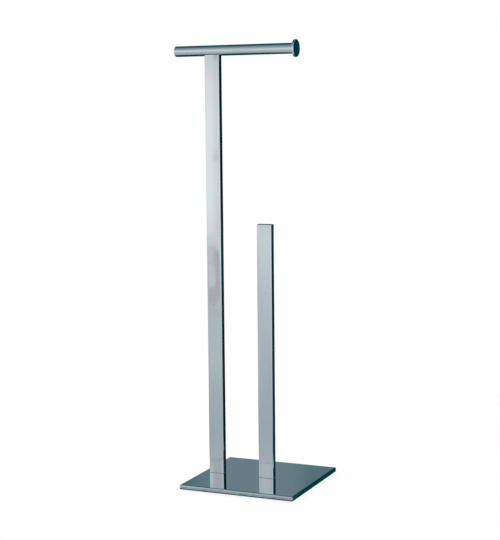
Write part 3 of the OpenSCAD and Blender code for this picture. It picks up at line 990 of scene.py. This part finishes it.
class ROLLHOLDER_OT_stage(bpy.types.Operator):
    """Set up the camera, the pale floor, the soft light and the tent that the chrome reflects"""

    bl_idname = "roll_holder.stage"
    bl_label = "Stage"

    def execute(self, context):
        stage = context.scene.roll_holder_stage
        context.scene.view_settings.view_transform = "Standard"
        self.camera(context)
        self.world(context, stage)
        self.floor(stage)
        self.lamp(context, stage)
        self.tent()
        return {"FINISHED"}

    def camera(self, context):
        """The photograph's view: turned about Z, tilted down and rolled a little."""
        data = bpy.data.cameras.new("camera")
        data.sensor_width = SENSOR
        data.lens = CAMERA_LENS
        made = bpy.data.objects.new("camera", data)
        context.scene.collection.objects.link(made)
        context.scene.camera = made
        turn, tilt, roll = CAMERA_TURN, CAMERA_TILT, CAMERA_ROLL
        level = math.cos(tilt)
        ahead = Vector((-math.sin(turn) * level, math.cos(turn) * level, math.sin(tilt)))
        right = Vector((math.cos(turn), math.sin(turn), 0))
        up = right.cross(ahead)
        across = right * math.cos(roll) + up * math.sin(roll)
        upwards = up * math.cos(roll) - right * math.sin(roll)
        turned_to = Matrix((across, upwards, -ahead)).transposed().to_4x4()
        made.matrix_world = Matrix.Translation(CAMERA_PLACE) @ turned_to

    def world(self, context, stage):
        """White for the camera, reflections and glass, and a plain level for everything else."""
        made = bpy.data.worlds.new("studio")
        context.scene.world = made
        made.use_nodes = True
        tree = made.node_tree
        tree.nodes.clear()
        levels = {"To Min": stage.world_level, "To Max": 1.0}
        strength = add(tree, "ShaderNodeMapRange", {"Value": seen_directly(tree), **levels})
        light = add(tree, "ShaderNodeBackground", {"Color": (1, 1, 1, 1), "Strength": strength})
        add(tree, "ShaderNodeOutputWorld", {"Surface": light})

    def floor(self, stage):
        """Plain pale floor that fades into the white background away from the object."""
        made, tree, place = new_material("pale_floor")
        away = add(tree, "ShaderNodeVectorMath", {0: place}, operation="LENGTH")
        span = {"From Min": stage.floor_clear, "From Max": stage.floor_fade}
        distance = {"Value": away.outputs["Value"], **span}
        fade = add(tree, "ShaderNodeMapRange", distance, interpolation_type="SMOOTHSTEP")
        matt = add(tree, "ShaderNodeBsdfDiffuse", {"Color": rgba(stage.floor)})
        white = add(tree, "ShaderNodeEmission", {"Color": (1, 1, 1, 1), "Strength": 1.0})
        white_share = {0: seen_directly(tree), 1: stage.floor_white}
        own = add(tree, "ShaderNodeMath", white_share, operation="MULTIPLY")
        pair = {0: own, 1: matt, 2: white}
        pale = add(tree, "ShaderNodeMixShader", pair)
        gone = add(tree, "ShaderNodeBsdfTransparent")
        faded = add(tree, "ShaderNodeMixShader", {0: fade, 1: pale, 2: gone})
        add(tree, "ShaderNodeOutputMaterial", {"Surface": faded})
        sheet_of("floor", disc(FLOOR_HOLE, FLOOR_RADIUS), made)

    def lamp(self, context, stage):
        """One large soft lamp, high on the left, which reflections don't show."""
        data = bpy.data.lights.new("soft_lamp", "AREA")
        data.shape = "SQUARE"
        data.size = LAMP_SIZE
        data.energy = stage.lamp_power
        made = bpy.data.objects.new("soft_lamp", data)
        context.scene.collection.objects.link(made)
        made.location = LAMP_PLACE
        made.rotation_mode = "QUATERNION"
        made.rotation_quaternion = (Vector(LAMP_AIM) - made.location).to_track_quat("-Z", "Y")
        made.visible_glossy = False

    def tent(self):
        """Cloth round the object: bright in front and on the left, near-black on the right, above and
        behind, and slate where the plate's top mirrors it in the photograph's view."""
        wall("front", [by_height(FRONT_BY_HEIGHT), by_x(FRONT_ACROSS)], FRONT_PATCHES)
        wall("right", [by_y(*RIGHT_ALONG)], RIGHT_PATCHES)
        wall("behind", [by_height(BEHIND_BY_HEIGHT)])
        wall("slate", [by_height(SLATE_BY_HEIGHT), by_y(*SLATE_ALONG)])
        wall("left", [by_height(FRONT_BY_HEIGHT), by_y(*LEFT_ALONG)])
        roof = cloth("roof", [by_y(*ROOF_ALONG)], ROOF_PATCHES)
        flat = disc(TENT_HOLE, TENT_RADIUS)
        only_reflected(sheet_of("tent_roof_sheet", flat + (0, 0, TENT_HEIGHT), roof))
        only_reflected(sheet_of("tent_mat", flat + (0, 0, MAT_LIFT), self.mat_cloth()))

    def mat_cloth(self):
        """Mat under the tent.

        Its front half is mid grey near the object, with a painted shadow of the plate right at
        its edge, and brighter farther out, its back half has a dark strip for the posts' right
        sides and is mid grey left of it, and the patches near the object lie over both.
        """
        made, tree, place = new_material("tent_mat_cloth")
        where = out_from_plate(tree, place)
        # the plate's ground edge shows slanted streaks, as if the mat near it were uneven
        lie = {"Rotation": (0, 0, math.radians(STREAK_TURN)), "Scale": STREAK_SCALE}
        slant = add(tree, "ShaderNodeMapping", {"Vector": place, **lie})
        streaks = add(tree, "ShaderNodeTexNoise", {"Vector": slant, "Scale": 1.0, "Detail": 1.0})
        swing = {0: streaks, 1: STREAK_SHIFT, 2: -STREAK_SHIFT / 2}
        shift = add(tree, "ShaderNodeMath", swing, operation="MULTIPLY_ADD")
        where = add(tree, "ShaderNodeMath", {0: where, 1: shift}, operation="ADD")
        # near the plate's edge this ramp is a painted shadow of the plate on the mat
        stops = [(ramp_place(q), colour) for q, colour in MAT_BY_DISTANCE]
        grey_with_shadow = add(tree, "ShaderNodeValToRGB", {0: where}, stops)
        front = patched(tree, place, grey_with_shadow, [self.on_tall_line(*patch) for patch in MAT_PATCHES])
        low, high = SECTOR_REACH
        span = {"Value": where, "From Min": ramp_place(low), "From Max": ramp_place(high)}
        clear = add(tree, "ShaderNodeMapRange", span)
        for bearing, start, end, colour, how in MAT_SECTORS:
            both = {0: self.beyond(tree, place, bearing, start, end), 1: clear}
            share = add(tree, "ShaderNodeMath", both, operation="MULTIPLY")
            pair = {0: share, 6: front, 7: rgba(colour)}
            front = add(tree, "ShaderNodeMix", pair, data_type="RGBA", blend_type=how).outputs[2]

        side = add(tree, "ShaderNodeVectorMath", {0: place, 1: SIDE_NORMAL}, operation="DOT_PRODUCT")
        past = {0: side.outputs["Value"], 1: SIDE_OFFSET}
        off = add(tree, "ShaderNodeMath", past, operation="SUBTRACT")
        far = add(tree, "ShaderNodeVectorMath", {0: place}, operation="LENGTH")
        short = {0: SIDES_CROSS, 1: far.outputs["Value"]}
        nearer = add(tree, "ShaderNodeMath", short, operation="SUBTRACT")
        which = add(tree, "ShaderNodeMath", {0: off, 1: nearer}, operation="MULTIPLY")
        spare = add(tree, "ShaderNodeMapRange", {"Value": which, **SIDES_BLEND})
        pair = {0: spare, 6: rgba(TALL_SIDE), 7: rgba(SPARE_SIDE)}
        behind = add(tree, "ShaderNodeMix", pair, data_type="RGBA").outputs[2]
        left = add(tree, "ShaderNodeMapRange", {"Value": off, **LEFT_EDGES})
        pair = {0: left, 6: behind, 7: rgba(LEFT_OF_SIDES)}
        behind = add(tree, "ShaderNodeMix", pair, data_type="RGBA").outputs[2]
        behind = patched(tree, place, behind, MAT_BEHIND)

        parts = add(tree, "ShaderNodeSeparateXYZ", {0: place})
        back = add(tree, "ShaderNodeMapRange", {"Value": parts.outputs[1], **BACK_EDGES})
        glow = add(tree, "ShaderNodeMix", {0: back, 6: front, 7: behind}, data_type="RGBA").outputs[2]
        glow = patched(tree, place, glow, MAT_NEAR)
        light = add(tree, "ShaderNodeEmission", {"Color": glow, "Strength": 1.0})
        add(tree, "ShaderNodeOutputMaterial", {"Surface": light})
        return made

    def beyond(self, tree, place, bearing, start, end):
        """0 to 1 over start to end metres past the line from the origin at that bearing, in degrees
        from the front towards +X: x cos b + y sin b."""
        b = math.radians(bearing)
        normal = (math.cos(b), math.sin(b), 0)
        across = add(tree, "ShaderNodeVectorMath", {0: place, 1: normal}, operation="DOT_PRODUCT")
        span = {"Value": across.outputs["Value"], "From Min": start, "From Max": end}
        return add(tree, "ShaderNodeMapRange", span)

    def on_tall_line(self, s, t, half_s, half_t, softness, colour):
        """Patch at s along and t right of the line on the floor that the tall post's front mirrors."""
        ahead = Vector(TALL_LINE_AHEAD)
        beside = Vector((-ahead.y, ahead.x, 0))
        middle = Vector(TALL_LINE_START) + s * ahead + t * beside
        turn = math.degrees(math.atan2(ahead.y, ahead.x))
        return tuple(middle), (half_s, half_t, FLAT), turn, softness, colour


class ROLLHOLDER_PT_panel(bpy.types.Panel):
    """Lists the holder's sizes, colours and steps"""

    bl_idname = "ROLLHOLDER_PT_panel"
    bl_label = "Toilet roll holder"
    bl_space_type = "VIEW_3D"
    bl_region_type = "UI"
    bl_category = "Roll holder"

    def draw(self, context):
        layout = self.layout
        for step in STEPS:
            layout.operator(step.bl_idname)
        for group in (
            context.scene.roll_holder_sizes,
            context.scene.roll_holder_colours,
            context.scene.roll_holder_stage,
        ):
            box = layout.box()
            for name in group.bl_rna.properties.keys():
                if name not in ("rna_type", "name"):
                    box.prop(group, name)


GROUPS = {
    "roll_holder_sizes": RollHolderSizes,
    "roll_holder_colours": RollHolderColours,
    "roll_holder_stage": RollHolderStage,
}
STEPS = (
    ROLLHOLDER_OT_stage,
    ROLLHOLDER_OT_plate_and_bar,
    ROLLHOLDER_OT_posts,
    ROLLHOLDER_OT_post_cap,
    ROLLHOLDER_OT_bar_ends,
    ROLLHOLDER_OT_pads,
    ROLLHOLDER_OT_fixings,
)


def register():
    for cls in (*GROUPS.values(), *STEPS, ROLLHOLDER_PT_panel):
        bpy.utils.register_class(cls)
    for name, group in GROUPS.items():
        setattr(bpy.types.Scene, name, bpy.props.PointerProperty(type=group))


def unregister():
    for name in GROUPS:
        delattr(bpy.types.Scene, name)
    for cls in (ROLLHOLDER_PT_panel, *reversed(STEPS), *GROUPS.values()):
        bpy.utils.unregister_class(cls)


def main():
    register()
    bpy.ops.roll_holder.stage()
    bpy.ops.roll_holder.plate_and_bar()
    bpy.ops.roll_holder.posts()
    bpy.ops.roll_holder.post_cap()
    bpy.ops.roll_holder.bar_ends()
    bpy.ops.roll_holder.pads()
    bpy.ops.roll_holder.fixings()


if __name__ == "__main__":
    main()
